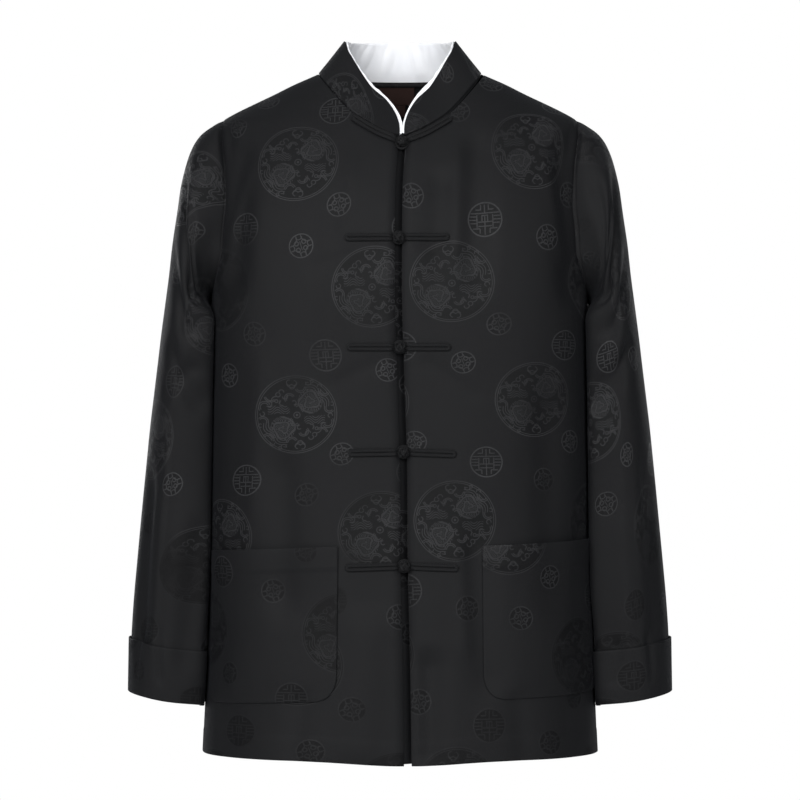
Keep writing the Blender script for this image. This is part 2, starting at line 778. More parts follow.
def set_finish(tree, shader, colour, roughness, specular, sheen=0.0):
    """Joins colour and roughness to the shader; gloss and sheen are the same all over."""
    tree.links.new(colour.socket, shader.inputs["Base Color"])
    plug(tree, roughness, shader.inputs["Roughness"])
    shader.inputs["Specular IOR Level"].default_value = specular
    shader.inputs["Sheen Weight"].default_value = sheen


# %% [markdown]
# ## The layout of the woven figures
#
# Brocade like this carries three sizes of roundel in a half-drop layout: columns stand
# 82.5 mm apart, each column repeats every 253.6 mm, and every other column drops by
# half of that. Each large roundel has one middle and two small ones at fixed places
# beside it, so one rule finds all of them: where is the nearest repeat of this figure?

# %% Finding the nearest figure
COLUMN_MM = 82.5
REPEAT_MM = 253.6
MIDDLE_AT = (-50.0, -67.0)
SMALL_AT = [(45.0, -44.0), (11.0, -85.0)]


def from_nearest(u, v, place):
    """Millimetres across and up from the nearest repeat of a figure at this place."""
    u, v = u - place[0], v - place[1]
    column = (u * (1 / COLUMN_MM)).rounded()
    drop = (column * 0.5).share()
    row = (v * (1 / REPEAT_MM) - drop).rounded() + drop
    return u - column * COLUMN_MM, v - row * REPEAT_MM


# %% Lines that figures are drawn with
LINE_MM = 0.42


def arc_group():
    """Part of a ring, as a node group: 1 on its line, or on the two edges of a band."""
    tree = bpy.data.node_groups.new("arc of thread", "ShaderNodeTree")
    names = ("Across", "Up", "Middle x", "Middle y", "Radius", "Half width", "Line",
             "Way x", "Way y", "Least")
    for name in names:
        tree.interface.new_socket(name, in_out="INPUT", socket_type="NodeSocketFloat")
    tree.interface.new_socket("Mark", in_out="OUTPUT", socket_type="NodeSocketFloat")
    given, result = tree.nodes.new("NodeGroupInput"), tree.nodes.new("NodeGroupOutput")
    across, up, x, y, radius, half, line, way_x, way_y, least = (
        Number(tree, given.outputs[name]) for name in names)
    across, up = across - x, up - y
    far = hypotenuse(across, up)
    mark = (far - radius).size().near(half, line)
    facing = across * way_x + up * way_y - far * least
    mark = mark * facing.above(0.0)
    tree.links.new(mark.socket, result.inputs["Mark"])
    return tree


ARC = arc_group()


def arc(x, y, middle, radius, facing, spread, half_width=0.0, line=LINE_MM):
    """An arc round middle: facing is the way its centre lies in degrees, spread its half."""
    node = x.tree.nodes.new("ShaderNodeGroup")
    node.node_tree = ARC
    values = (x, y, *middle, radius, half_width, line, math.cos(math.radians(facing)),
              math.sin(math.radians(facing)), math.cos(math.radians(spread)))
    for socket, value in zip(node.inputs, values):
        plug(x.tree, value, socket)
    return Number(x.tree, node.outputs["Mark"])


def bar(x, y, middle, half_width, half_height):
    """An upright or level bar round middle."""
    return x.near(middle[0], half_width) * y.near(middle[1], half_height)


# %% [markdown]
# ## The large roundel
#
# Two coiled dragons chase a pearl, among clouds, inside a double ring. The figure is the
# same when it is turned by half a turn, so half of it is folded onto the other half and
# drawn once. A body is a spiral band with rows of scales, a mane and a tail are bundles
# of wavy lines, and head, legs and clouds are short arcs.

# %% Dragons in a ring
ROUNDEL_MM = 40.2
COIL_AT = (-14.0, -13.5)
COIL_SIZE = 12.6
COIL_PITCH = 5.6
MANE_AT, MANE_HALF = (-17.5, 6.0), (10.5, 4.4)
TAIL_FAR, TAIL_HALF_WIDTH = 32.0, 3.7
TAIL_TURN, TAIL_HALF_TURN = 0.75, 0.52
DRAGON_ARCS = [
    # x, y, radius, facing, spread, half_width
    (-31, 9, 5, 120, 95, 0.9), (-27, 12.5, 3, 330, 100, 0), (-20, 15.5, 4.2, 60, 110, 0),
    (-19.5, 15, 1.5, 0, 180, 0), (-14, 13, 2.6, 200, 90, 0), (-24.5, 20.5, 5.6, 250, 60, 0.7),
    (-33, -6, 4.4, 60, 80, 0.8), (-35.5, -10, 1.8, 190, 120, 0), (-2, -6.5, 4, 230, 95, 0.9),
    (-28, -24, 4.6, 60, 90, 0.9), (-24, -29, 2, 260, 120, 0), (-5, -28.5, 4.6, 100, 80, 0.8),
    (6.5, -17.5, 4.2, 300, 100, 0.8), (10.8, -19.5, 2.6, 120, 120, 0),
    (2.2, -13, 2, 200, 120, 0), (-33.5, 2, 2.2, 300, 140, 0),
]
CLOUD_ARCS = [
    # x, y, radius, facing, spread
    (1, -33, 2.5, 150, 120), (5.6, -33.5, 2.7, 20, 130), (3.2, -29.6, 2.6, 90, 120),
    (3.4, -34, 5.4, 100, 75), (14, -24, 2.4, 300, 130), (17.5, -21.5, 2.2, 40, 130),
    (-13, -33, 2.6, 110, 130), (-16.5, -34, 1.6, 200, 150),
]


def large_roundel(x, y):
    """The large roundel's lines: two coiled dragons among clouds in a double ring."""
    far = hypotenuse(x, y)
    rings = any_of([far.near(ROUNDEL_MM, LINE_MM), far.near(ROUNDEL_MM - 1.9, LINE_MM * 0.8)])
    side = (x + y).then("SIGN") * -1.0
    x, y = x * side, y * side
    turned = (y * -1.0).then("ARCTAN2", x * -1.0)

    out, over = x - COIL_AT[0], y - COIL_AT[1]
    reach = hypotenuse(out, over)
    bend = over.then("ARCTAN2", out)
    swell = (bend * 3.0 + reach * 0.35).wave() * 1.1
    lane = (reach + swell) * (1 / COIL_PITCH) - bend * (0.5 / math.pi)
    across_lane = (lane.share() - 0.5).size()
    scales = (bend * 3.4 + reach * 0.55 + across_lane * 2.0).share().below(0.42)
    coil = any_of([across_lane.near(0.42, 0.07), scales * across_lane.below(0.27)])
    coil = coil * reach.below(COIL_SIZE)

    waved = y + (x * 0.42).wave() * 2.4
    mane = (waved * 0.40).share().near(0.5, 0.17) * x.near(MANE_AT[0], MANE_HALF[0])
    mane = mane * y.near(MANE_AT[1], MANE_HALF[1])

    tail_wave = (turned * 11.0).wave() * 1.3
    tail = ((far + tail_wave) * 0.40).share().near(0.5, 0.16)
    tail = tail * far.near(TAIL_FAR, TAIL_HALF_WIDTH) * turned.near(TAIL_TURN, TAIL_HALF_TURN)

    arcs = [arc(x, y, row[:2], *row[2:5], half_width=row[5]) for row in DRAGON_ARCS]
    clouds = [arc(x, y, row[:2], *row[2:5]) for row in CLOUD_ARCS]
    pearl = any_of([far.near(3.1, LINE_MM), far.below(1.2)])
    return any_of([coil, mane, tail, rings, pearl, *arcs, *clouds])


# %% [markdown]
# ## The middle and the small roundel
#
# The middle roundel holds a plain fret of straight bars, the same on both sides, so the
# left half is folded onto the right one. The small roundel holds a lattice of rings and
# crossed arcs, the same in all four quarters. Neither of them is a sign or a letter.

# %% Frets in small rings
MIDDLE_MM = 16.4
SMALL_MM = 12.2
FRET_BARS = [
    # x, y, half_width, half_height
    (0, 9.6, 0.5, 4.2), (3.6, 11.4, 0.5, 2.4), (5.8, 9.2, 2.6, 0.5), (4.8, 5.9, 8.6, 0.5),
    (2.6, 0.9, 0.5, 3.2), (1.3, 3.8, 1.8, 0.5), (0, -5.6, 0.5, 8.8), (3.2, -2.2, 3.4, 0.5),
    (3, -6.2, 3.2, 0.5), (7.4, -1.6, 0.5, 6), (11.6, 2.9, 3.4, 0.5), (11.4, -0.3, 3.4, 0.5),
    (10.8, -3.4, 3, 0.5), (8, -8.4, 3.4, 0.5), (4.6, -10.6, 0.5, 2.2),
]


def middle_roundel(x, y):
    far = hypotenuse(x, y)
    x = x.size()
    bars = any_of([bar(x, y, row[:2], *row[2:]) for row in FRET_BARS])
    return any_of([bars * far.below(MIDDLE_MM - 1.6), far.near(MIDDLE_MM - 0.7, 0.7)])


def small_roundel(x, y):
    far = hypotenuse(x, y)
    x, y = x * 0.94 + y * 0.34, y * 0.94 - x * 0.34
    x, y = x.size(), y.size()
    rings = [arc(x, y, (3.7, 3.3), 2.0, 0.0, 180.0, line=0.55),
             arc(x, y, (9.0, 9.0), 6.6, 225.0, 60.0, line=0.5),
             arc(x, y, (0.0, 9.4), 3.0, 270.0, 80.0, line=0.5),
             arc(x, y, (9.6, 0.0), 3.0, 180.0, 80.0, line=0.5)]
    cross = bar(x, y, (0.0, 2.0), 0.4, 2.6)
    return any_of([any_of([*rings, cross]) * far.below(SMALL_MM - 1.4),
                   far.near(SMALL_MM - 0.6, 0.6)])


# %% [markdown]
# ## The brocade's ground
#
# The ground is a warp satin: fine, nearly black threads that lie mostly along the cloth,
# with a soft, broad sheen. The figures are woven the other way, so they are the same
# black in another light. Under a high light they are brighter than the ground on the
# chest and sink into the dark towards the hem. A finish that travels with the model
# can't know which way threads reflect, so this turn is written as colour, by height.
# Inside a roundel the field behind the lines is the darkest cloth of all. The floats lie
# unevenly, so the lines are stronger in some places than in others. The threads' relief
# is a small bump.

# %% Brocade
THREADS_PER_MM = 2.6
GROUND = (0.0040, 0.0041, 0.0045)
GROUND_LIGHT = (0.0054, 0.0055, 0.0060)
THREAD_TIPS = (0.022, 0.0225, 0.024)
FIGURE_HIGH = (0.0192, 0.0194, 0.0204)
FIGURE_LOW = (0.0092, 0.0094, 0.0100)
FIELD = (0.0014, 0.0014, 0.0016)
FIGURES_TURN_AT, FIGURES_TURN_OVER = -0.560, 0.18
ROUNDELS = [((0.0, 0.0), ROUNDEL_MM, large_roundel), (MIDDLE_AT, MIDDLE_MM, middle_roundel),
            *[(place, SMALL_MM, small_roundel) for place in SMALL_AT]]


def brocade_material():
    material, tree, shader = new_material("black brocade")
    u, v = cloth_place(tree)
    lie = noise_number(tree, 9.0)
    lines = any_of([drawn(*from_nearest(u, v, place)) for place, _, drawn in ROUNDELS])
    figure = lines * (lie * 3.2 - 0.75)
    field = any_of([hypotenuse(*from_nearest(u, v, place)).below(size)
                    for place, size, _ in ROUNDELS])
    shade = noise_number(tree, 26.0, detail=3.0, roughness=0.6, stretch=(1, 1, 0.35))
    ground = mixed(tree, shade, GROUND, GROUND_LIGHT)
    warp = (u * (THREADS_PER_MM * 2 * math.pi) + v * 0.9).wave()
    weft = (v * (THREADS_PER_MM * 2 * math.pi * 0.8) + u * 2.2).wave()
    weave = warp * 0.6 + weft * 0.4
    turned = (height_number(tree) - FIGURES_TURN_AT) * (1 / FIGURES_TURN_OVER)
    turned = (turned + (lie * 2.0 - 1.0)).then("MULTIPLY", 1.0, clamp=True)
    figure_colour = mixed(tree, turned, FIGURE_LOW, FIGURE_HIGH)
    ground = mixed(tree, field * (turned * -0.5 + 0.9), ground, FIELD)
    colour = mixed(tree, figure * 0.85, ground, figure_colour)
    colour = mixed(tree, weave * 0.05 + 0.05, colour, THREAD_TIPS)
    roughness = figure * -0.17 + (shade * 0.08 + 0.50)
    set_finish(tree, shader, colour, roughness, specular=0.074, sheen=0.01)
    shader.inputs["Sheen Roughness"].default_value = 0.5
    shader.inputs["Sheen Tint"].default_value = (0.8, 0.85, 1.0, 1)
    bump(tree, shader, weave, distance=0.00006, strength=0.6)
    print("brocade nodes:", len(tree.nodes))
    return material


# %% [markdown]
# ## Cord, satin and label
#
# The frogs' cord is a tube of bias-cut satin, so its threads run slantwise round it. The
# collar's liner is bright white satin with fine upright threads. The label is woven in
# close rows of dark red-brown thread and is left bare.

# %% Cord
CORD_DARK, CORD_LIGHT = (0.0026, 0.0027, 0.0030), (0.0090, 0.0092, 0.0100)
CORD_WORN = (0.0044, 0.0045, 0.0050)


def cord_material():
    material, tree, shader = new_material("bias satin cord")
    u, v = cloth_place(tree)
    slant = (u * 9.0 + v * 9.0).wave()
    fine = (u * 15.0 - v * 13.0).wave()
    height = slant * 0.7 + fine * 0.3
    shade = noise_number(tree, 90.0)
    colour = mixed(tree, slant * 0.25 + 0.35, CORD_DARK, CORD_LIGHT)
    colour = mixed(tree, shade * 0.5, colour, CORD_WORN)
    set_finish(tree, shader, colour, shade * 0.10 + 0.40, specular=0.09, sheen=0.01)
    bump(tree, shader, height, distance=0.00012, strength=0.7)
    return material


# %% White satin
SATIN_SHADE, SATIN_LIGHT = (0.70, 0.715, 0.75), (0.80, 0.805, 0.82)
SATIN_THREADS = (0.60, 0.62, 0.67)


def satin_material():
    material, tree, shader = new_material("white satin")
    u, v = cloth_place(tree)
    threads = (u * 14.0 + (v * 0.7).wave() * 0.3).wave()
    cross = (v * 17.0).wave()
    shade = noise_number(tree, 40.0, detail=3.0)
    colour = mixed(tree, shade, SATIN_SHADE, SATIN_LIGHT)
    colour = mixed(tree, threads * 0.08 + 0.08, colour, SATIN_THREADS)
    set_finish(tree, shader, colour, shade * 0.12 + 0.28, specular=0.45, sheen=0.25)
    height = threads * 0.7 + cross * 0.3
    bump(tree, shader, height, distance=0.00006, strength=0.6)
    return material


# %% Woven label
LABEL_DARK, LABEL_LIGHT = (0.018, 0.008, 0.007), (0.040, 0.019, 0.014)
LABEL_WORN = (0.026, 0.014, 0.011)


def label_material():
    material, tree, shader = new_material("woven label")
    u, v = cloth_place(tree)
    rows = (v * 12.0).wave()
    columns = (u * 16.0).wave()
    shade = noise_number(tree, 300.0)
    colour = mixed(tree, rows * 0.3 + 0.4, LABEL_DARK, LABEL_LIGHT)
    colour = mixed(tree, shade * 0.5, colour, LABEL_WORN)
    set_finish(tree, shader, colour, 0.62, specular=0.25)
    height = rows * 0.6 + columns * 0.4
    bump(tree, shader, height, distance=0.00008, strength=0.7)
    return material


FINISHES = {
    "brocade": brocade_material(),
    "cord": cord_material(),
    "satin": satin_material(),
    "label": label_material(),
}
print("finishes:", ", ".join(FINISHES))

# %% [markdown]
# ## Back and fronts
#
# The jacket has one back panel and two fronts. Their edges meet at the shoulders and the
# sides, so that no light shows through a seam. Creases and unevenness fade towards a
# seam, where the stitching holds the cloth still, and the cloth dips a little into the
# seam itself. The hem is turned up inside, so the last 24 mm are a little thicker, and
# the front edges are turned in and roll towards the body. Next to the sleeves a panel
# has no room to swell.

# %% How a panel stands off the body
FINE_CELLS = (34, 26, 150, 86)
SEAM_DIP = 0.0005
DIP_WIDTH = 0.0030
STILL_BELOW_SHOULDER = 0.030
STILL_BESIDE_ARMHOLE = 0.022
NECK_FADE = 0.006
HEM_TURN = 0.024
HEM_STEP = 0.001
HEM_THICK = 0.00035
EDGE_ROLL = 0.0034
ROLL_WIDTH = 0.0038
EDGE_BACK = 0.0013
BESIDE_SLEEVE = 0.050
SWELL_BESIDE_SLEEVE = 0.0006
SEED = {BACK: 10.3, FRONT: 18.3}


def seam_lines(face):
    arm = armhole(face)
    neck = neckline(face)
    seam = shoulder(face, neck[-1], arm[-1])
    return float(neck[-1, 0]), np.concatenate([neck, seam[1:]]), arm


SEAM_LINES = {face: seam_lines(face) for face in (FRONT, BACK)}


def panel_rise(across, up, points, face, piece):
    """How far a panel's cloth stands off the body at each flat point."""
    neck_end, top, arm = SEAM_LINES[face]
    below = np.interp(abs(across), top[:, 0], top[:, 1]) - up
    inside = np.interp(up, arm[:, 1], arm[:, 0]) - abs(across)
    free = smooth_step(0, STILL_BELOW_SHOULDER, below)
    free = free * smooth_step(0, STILL_BESIDE_ARMHOLE, inside)
    creases = listed_folds(points, PANEL_CREASES[piece]) + uneven(across, up, SEED[face])
    rise = listed_folds(points, PANEL_FOLDS[piece]) + creases * free
    rise = rise - SEAM_DIP * np.exp(-((inside / DIP_WIDTH) ** 2))
    on_shoulder = smooth_step(neck_end, neck_end + NECK_FADE, abs(across))
    rise = rise - SEAM_DIP * np.exp(-((below / DIP_WIDTH) ** 2)) * on_shoulder
    above_hem = up - hem_up(across)
    turned_up = smooth_step(HEM_TURN + HEM_STEP, HEM_TURN - HEM_STEP, above_hem)
    rise = rise + HEM_THICK * turned_up
    if face == FRONT:
        side = 1 if piece == "front_left" else -1
        from_edge = side * (across - opening_at(points[..., 2])) - OPENING / 2 - EDGE_BACK
        rise = rise - EDGE_ROLL * np.exp(-((np.maximum(from_edge, 0) / ROLL_WIDTH) ** 2))
    held = smooth_step(BESIDE_SLEEVE, BESIDE_SLEEVE / 2, inside) * (up < 0)
    return rise * (1 - held) + np.minimum(rise, SWELL_BESIDE_SLEEVE) * held


def panel_points(across, up, face, piece):
    """A panel's outer side at flat points of its cloth, and the body's normals there."""
    across, up = np.broadcast_arrays(np.asarray(across, float), np.asarray(up, float))
    points = lift(across, up, face)
    normals = body_normals(points, face)
    rise = panel_rise(across, up, points, face, piece)
    return points + rise[..., None] * normals, normals


# %% [markdown]
# ## Where the pattern falls
#
# A tailor chooses where each piece is cut from the roll, so that the large roundels sit
# well on the chest. Here a few flat points of a piece are given the place in the pattern
# that lies on them, in millimetres. A thin-plate spline, which bends as little as a
# sheet through those points can, carries the pattern from one to the next.

# %% The pattern eased over a piece
def eased(cloth, known):
    """Pattern places for flat points: given at a few of them, smooth in between."""
    known = np.array(known) / 1000
    places, shifts = known[:, :2], known[:, 2:] - known[:, :2]
    count = len(known)

    def bend(points):
        gap = np.linalg.norm(points[..., None, :] - places, axis=-1)
        return gap**2 * np.log(gap + 1e-9)

    flat = np.column_stack([np.ones(count), places])
    system = np.block([[bend(places), flat], [flat.T, np.zeros((3, 3))]])
    weights = np.linalg.solve(system, np.vstack([shifts, np.zeros((3, 2))]))
    return (cloth + bend(cloth) @ weights[:count] + weights[count]
            + cloth @ weights[count + 1:])


FRONT_PATTERN = {
    # across, up, pattern across, pattern up
    "right": [
        (-106.5, 146.4, -82.5, 126.8), (-28.4, 13.7, 0, 0), (-105.2, -116.3, -82.5, -126.8),
        (-20.1, -232.9, 0, -253.6), (-204, 12, -165, 0), (-46.2, -414.7, -37.5, -424.4),
        (-163.3, -439.5, -132.5, -447.4),
    ],
    "left": [
        (140.3, 164.4, 247.5, 126.8), (52.8, 17.8, 165, 0), (139.7, -100, 247.5, -126.8),
        (55.3, -222.8, 165, -253.6), (236, 20, 330, 0), (18.8, -407, 127.5, -424.4),
        (87.1, -431.3, 197.5, -447.4),
    ],
}
SLEEVE_PATTERN = {
    # across, up, pattern across, pattern up
    "right": [
        (-62, 532, -82.5, 380.4), (49, 406, 0, 253.6), (-57.2, 264.7, -82.5, 126.8),
        (36, 145.5, 0, 0),
    ],
    "left": [
        (26, 437, 82.5, 126.8), (-37, 293, 0, 0), (5, 100, 32.5, -193.8),
    ],
}
CUFF_PATTERN = {"right": (-0.0851, 0.0707), "left": (0.0484, 0.0940)}
COLLAR_PATTERN = (0.2080, -0.0060)

# %% The back
half = half_pattern(BACK, FINE_CELLS)
cloth = np.concatenate([half[:, :0:-1] * (-1, 1), half], axis=1)
points, normals = panel_points(cloth[..., 0], cloth[..., 1], BACK, "back")
sew("back_panel", points, points - CLOTH * normals, cloth, "back", pattern=cloth * (-1, 1))

# %% The fronts
for side, hand in SIDES:
    name = f"front_{hand}"
    half = half_pattern(FRONT, FINE_CELLS)
    height = lift(half[:, 0, 0], half[:, 0, 1], FRONT)[:, 2]
    edge = opening_at(height) * side + OPENING / 2 + EDGE_BACK
    share = 1 - half[..., 0] / half[:, -1:, 0]
    across = (half[..., 0] + edge[:, None] * share) * side
    cloth = np.stack([across, half[..., 1]], axis=-1)
    points, normals = panel_points(across, half[..., 1], FRONT, name)
    sew(f"{name}_panel", points, points - CLOTH * normals, cloth, name,
        pattern=eased(cloth, FRONT_PATTERN[hand]))

# %% [markdown]
# ## The underlap
#
# A strip sewn under the opening fills the gap between the two edges, so no shirt shows.
# It follows the same folds as the fronts above it. Under the left front it lies deeper,
# which keeps the gap between the edges dark.

# %% The strip under the opening
UNDERLAP_BELOW_NECK = 0.004
UNDERLAP_ABOVE_HEM = 0.002
UNDERLAP_DEPTH = 0.0026, 0.0095
UNDERLAP_SINKS = -0.0035, 0.0040
UNDERLAP_BLEND = 0.003

top = float(neckline(FRONT)[0, 1]) - UNDERLAP_BELOW_NECK
bottom = float(hem_up(0.0)) + UNDERLAP_ABOVE_HEM
up = np.linspace(bottom, top, 200)[:, None]
height = lift(np.zeros_like(up), up, FRONT)[..., 2]
across = opening_at(height) + np.linspace(-0.5, 0.5, 11) * UNDERLAP_WIDTH
up = np.broadcast_to(up, across.shape)
(on_right, normals), (on_left, _) = (
    panel_points(across, up, FRONT, f"front_{hand}") for _, hand in SIDES)
to_left = smooth_step(-UNDERLAP_BLEND, UNDERLAP_BLEND, across)[..., None]
points = on_right * (1 - to_left) + on_left * to_left
sunk = smooth_step(*UNDERLAP_SINKS, across - opening_at(height))[..., None]
points = points - (UNDERLAP_DEPTH[0] * (1 - sunk) + UNDERLAP_DEPTH[1] * sunk) * normals
cloth = np.stack([across, up], axis=-1)
sew("underlap_strip", points, points - CLOTH * normals, cloth, "underlap")

# %% [markdown]
# ## Sleeves
#
# A sleeve is a tube whose head is eased into the armhole. Its slices lean in under the
# arm and hang down beside the body, where their inner corners nestle against it. A
# smooth curve through the slices gives the rows, and the tube's seam runs under the arm,
# where a tailor puts it. Three rows of seam allowance are tucked under the panels, so
# the joint is closed. Creases are deep on the inner side and fade on the outer side,
# where the cloth is drawn smooth over the arm.

# %% The sleeve's smooth tube
SLEEVE_AROUND = 112
SLEEVE_ROWS = 190
ARMHOLE_POINTS = 40
AT_ARMHOLE = 1.5 * SEAM
NESTLE_HEIGHTS = (-0.60, -0.54)
NESTLE_CLEAR = (0.0040, 0.0012)
NESTLE_TURN, NESTLE_WIDTH = math.radians(146), math.radians(27)
NESTLE_FROM, NESTLE_WHOLE = UNDERARM + 0.010, UNDERARM - 0.020
FIRST_SLICE = 0.55


def armhole_loop(turn):
    down = abs(turn) / math.pi
    points = np.empty(turn.shape + (3,))
    for face, chosen in ((FRONT, turn >= 0), (BACK, turn < 0)):
        cloth = spaced(armhole(face, ARMHOLE_POINTS), 1 - down[chosen])
        points[chosen] = lift(cloth[:, 0], cloth[:, 1], face)
    centre = (points[0] + points[len(turn) // 2]) / 2
    inward = unit((centre - points) * (0, 1, 1))
    return points + AT_ARMHOLE * (inward + (1, 0, 0))


def sleeve_slices(turn):
    start = armhole_loop(turn)
    rows = [start]
    cos, sin = np.cos(turn), np.sin(turn)
    for number, row in enumerate(SLEEVE_SLICES):
        outer_out, outer_height, under_height, half_depth, backward, power = row
        under_out = float(section(under_height, SIDE)) + SLEEVE_CLEAR
        middle = ((outer_out + under_out) / 2, (outer_height + under_height) / 2)
        half = ((outer_out - under_out) / 2, (outer_height - under_height) / 2)
        size = (abs(cos) ** power + abs(sin) ** power) ** (-1 / power)
        place = [middle[0] + half[0] * cos * size, backward - half_depth * sin * size,
                 middle[1] + half[1] * cos * size]
        share = smooth_step(0, 1, min(1.0, (number + FIRST_SLICE) / SLEEVE_EASES_IN))
        share = share + (1 - share) * np.clip(cos, 0, 1)[:, None] ** 2
        rows.append(start * (1 - share) + np.stack(place, axis=-1) * share)
    return np.array(rows)


def beside_body(grid, turn):
    """Keeps the sleeve just off the body, and lets its inner corners nestle against it."""
    x, y, z = np.moveaxis(grid, -1, 0)
    body = np.where(y < 0, side_at(np.minimum(y, 0), z, FRONT),
                    side_at(np.maximum(y, 0), z, BACK))
    slices = np.linspace(0, len(SLEEVE_SLICES), len(grid))[:, None]
    clear = np.interp(z, NESTLE_HEIGHTS, NESTLE_CLEAR) * smooth_step(0, 3, slices)
    nestle = np.exp(-(((abs(turn) - NESTLE_TURN) / NESTLE_WIDTH) ** 2))
    nestle = nestle * smooth_step(NESTLE_FROM, NESTLE_WHOLE, z)
    grid = grid.copy()
    grid[..., 0] = np.maximum(x, body + clear) * (1 - nestle) + (body + clear) * nestle
    return grid


turn = np.linspace(-math.pi, math.pi, SLEEVE_AROUND + 1)
sleeve_tube = beside_body(smooth_rows(sleeve_slices(turn), SLEEVE_ROWS + 1), turn)
sleeve_tube[:, -1] = sleeve_tube[:, 0]
sleeve_normals = grid_normals(sleeve_tube, around=True)
outside = running_length(sleeve_tube[:, SLEEVE_AROUND // 2])
print("sleeve length outside:", round(float(outside[-1]), 3))

# %% The sleeve's folds and creases
SLEEVE_CREASES = {
    # turn_1, run_1, turn_2, run_2, half_width, rise
    "right": [
        (76, 0.1, 125, 0.2, 10, -3), (55, 0.09, 112, 0.15, 11, 1.6),
        (60, 0.05, 74, 0.16, 10, 1.2), (47, 0.63, 45, 0.93, 12, -3.2),
        (78, 0.58, 74, 0.92, 10, 2.6), (50, 0.88, 44, 0.97, 6, -2.4),
        (80, 0.88, 84, 0.97, 5, -2.4), (110, 0.42, 60, 0.49, 10, -2.6),
        (115, 0.7, 108, 0.95, 10, -2.6),
    ],
    "left": [
        (52, 0.07, 104, 0.13, 10, 1.8), (56, 0.13, 118, 0.19, 10, 1.6),
        (62, 0.05, 118, 0.15, 10, -3), (60, 0.1, 127, 0.2, 9, -2.6),
        (60, 0.4, 118, 0.46, 10, -2.6), (55, 0.6, 62, 0.92, 12, -2.9),
        (95, 0.55, 98, 0.9, 12, 1.9), (70, 0.89, 66, 0.97, 6, -2.4),
        (105, 0.9, 110, 0.97, 6, -1.9),
    ],
}
SLEEVE_SEED = {"right": 23.0, "left": 31.0}
OUTSIDE_SMOOTH, OUTSIDE_WIDTH = 0.85, math.radians(50)
HEAD_SMOOTH, HEAD_EASE = 0.030, 0.035
ALLOWANCE = [
    # inside the seam, below the panel's outer side
    (0.0070, 0.0026),
    (0.0040, 0.0026),
    (0.0003, 0.0021),
]
PANEL_MIDDLE = (0.100, 0.060)


def sleeve_layout(grid, turn):
    """The sleeve unrolled: round it from the front, and up from its lower edge."""
    girth = np.array([running_length(row)[-1] for row in grid])
    length = np.stack([running_length(column) for column in np.moveaxis(grid, 1, 0)], axis=1)
    round_it = (turn[None] - math.pi / 2) / (2 * math.pi) * girth[:, None]
    return np.stack([round_it, length[-1] - length], axis=-1)


def panel_round_armhole(turn, hand, inside=0.0, depth=0.0):
    """Points of the panels round one armhole, for a sleeve that is drawn at +X."""
    side = 1 if hand == "left" else -1
    down = abs(turn) / math.pi
    points = np.empty(turn.shape + (3,))
    for face, piece, chosen in ((FRONT, f"front_{hand}", turn >= 0), (BACK, "back", turn < 0)):
        cloth = spaced(armhole(face, ARMHOLE_POINTS), 1 - down[chosen])
        cloth = cloth + inside * unit(np.array(PANEL_MIDDLE) - cloth)
        moved, normals = panel_points(cloth[:, 0] * side, cloth[:, 1], face, piece)
        points[chosen] = (moved - depth * normals) * (side, 1, 1)
    return points


def sleeve_wall(grid, normals, hand):
    """The sleeve's outer points: eased to the panels' edge, folded, and creased."""
    run = running_length(grid[:, grid.shape[1] // 2])
    girth = running_length(grid[len(grid) // 2])[-1]
    around = turn % (2 * math.pi) / (2 * math.pi) * girth
    around = np.broadcast_to(around, grid.shape[:2])
    along = np.broadcast_to(run[:, None], grid.shape[:2])
    rise = np.zeros(grid.shape[:2])
    for turn_1, run_1, turn_2, run_2, half_width, depth in SLEEVE_FOLDS + SLEEVE_CREASES[hand]:
        line = ((turn_1 / 360 * girth, run_1 * run[-1]), (turn_2 / 360 * girth, run_2 * run[-1]))
        rise += fold_rise(around, along, line, half_width / 1000, depth / 1000)
    x, y, z = np.moveaxis(grid, -1, 0)
    for width, length, height in UNEVEN:
        rise += height * noise_at(x / width, y / width, z / length + SLEEVE_SEED[hand])
    rise *= smooth_step(0, HEAD_SMOOTH, along)
    rise *= 1 - OUTSIDE_SMOOTH * np.exp(-((turn / OUTSIDE_WIDTH) ** 2))
    shift = panel_round_armhole(turn, hand) - armhole_loop(turn) + (AT_ARMHOLE, 0, 0)
    head = smooth_step(HEAD_EASE, 0, along)[..., None]
    outer = beside_body(grid + rise[..., None] * normals + shift * head, turn)
    under = [panel_round_armhole(turn, hand, inside, depth) for inside, depth in ALLOWANCE]
    outer = np.concatenate([under, outer])
    outer[:, -1] = outer[:, 0]
    return outer


# %% Both sleeves
sleeve_outer = {}
for side, hand in SIDES:
    mirror = (side, 1, 1)
    outer = sleeve_outer[hand] = sleeve_wall(sleeve_tube, sleeve_normals, hand)
    inner = outer - CLOTH * grid_normals(outer, around=True)
    cloth = sleeve_layout(outer, turn) * (-side, 1)
    sew(f"sleeve_{hand}_cloth", outer * mirror, inner * mirror, cloth, f"sleeve_{hand}",
        pattern=eased(cloth, SLEEVE_PATTERN[hand]), around=True)

# %% [markdown]
# ## Turned-back cuffs
#
# Each sleeve ends in a cuff that is folded back over it. It is the sleeve's last stretch
# again, a little further out, and its cloth is doubled.

# %% Cuffs
CUFF_ROWS = 18
CUFF_ROUND = 0.0007


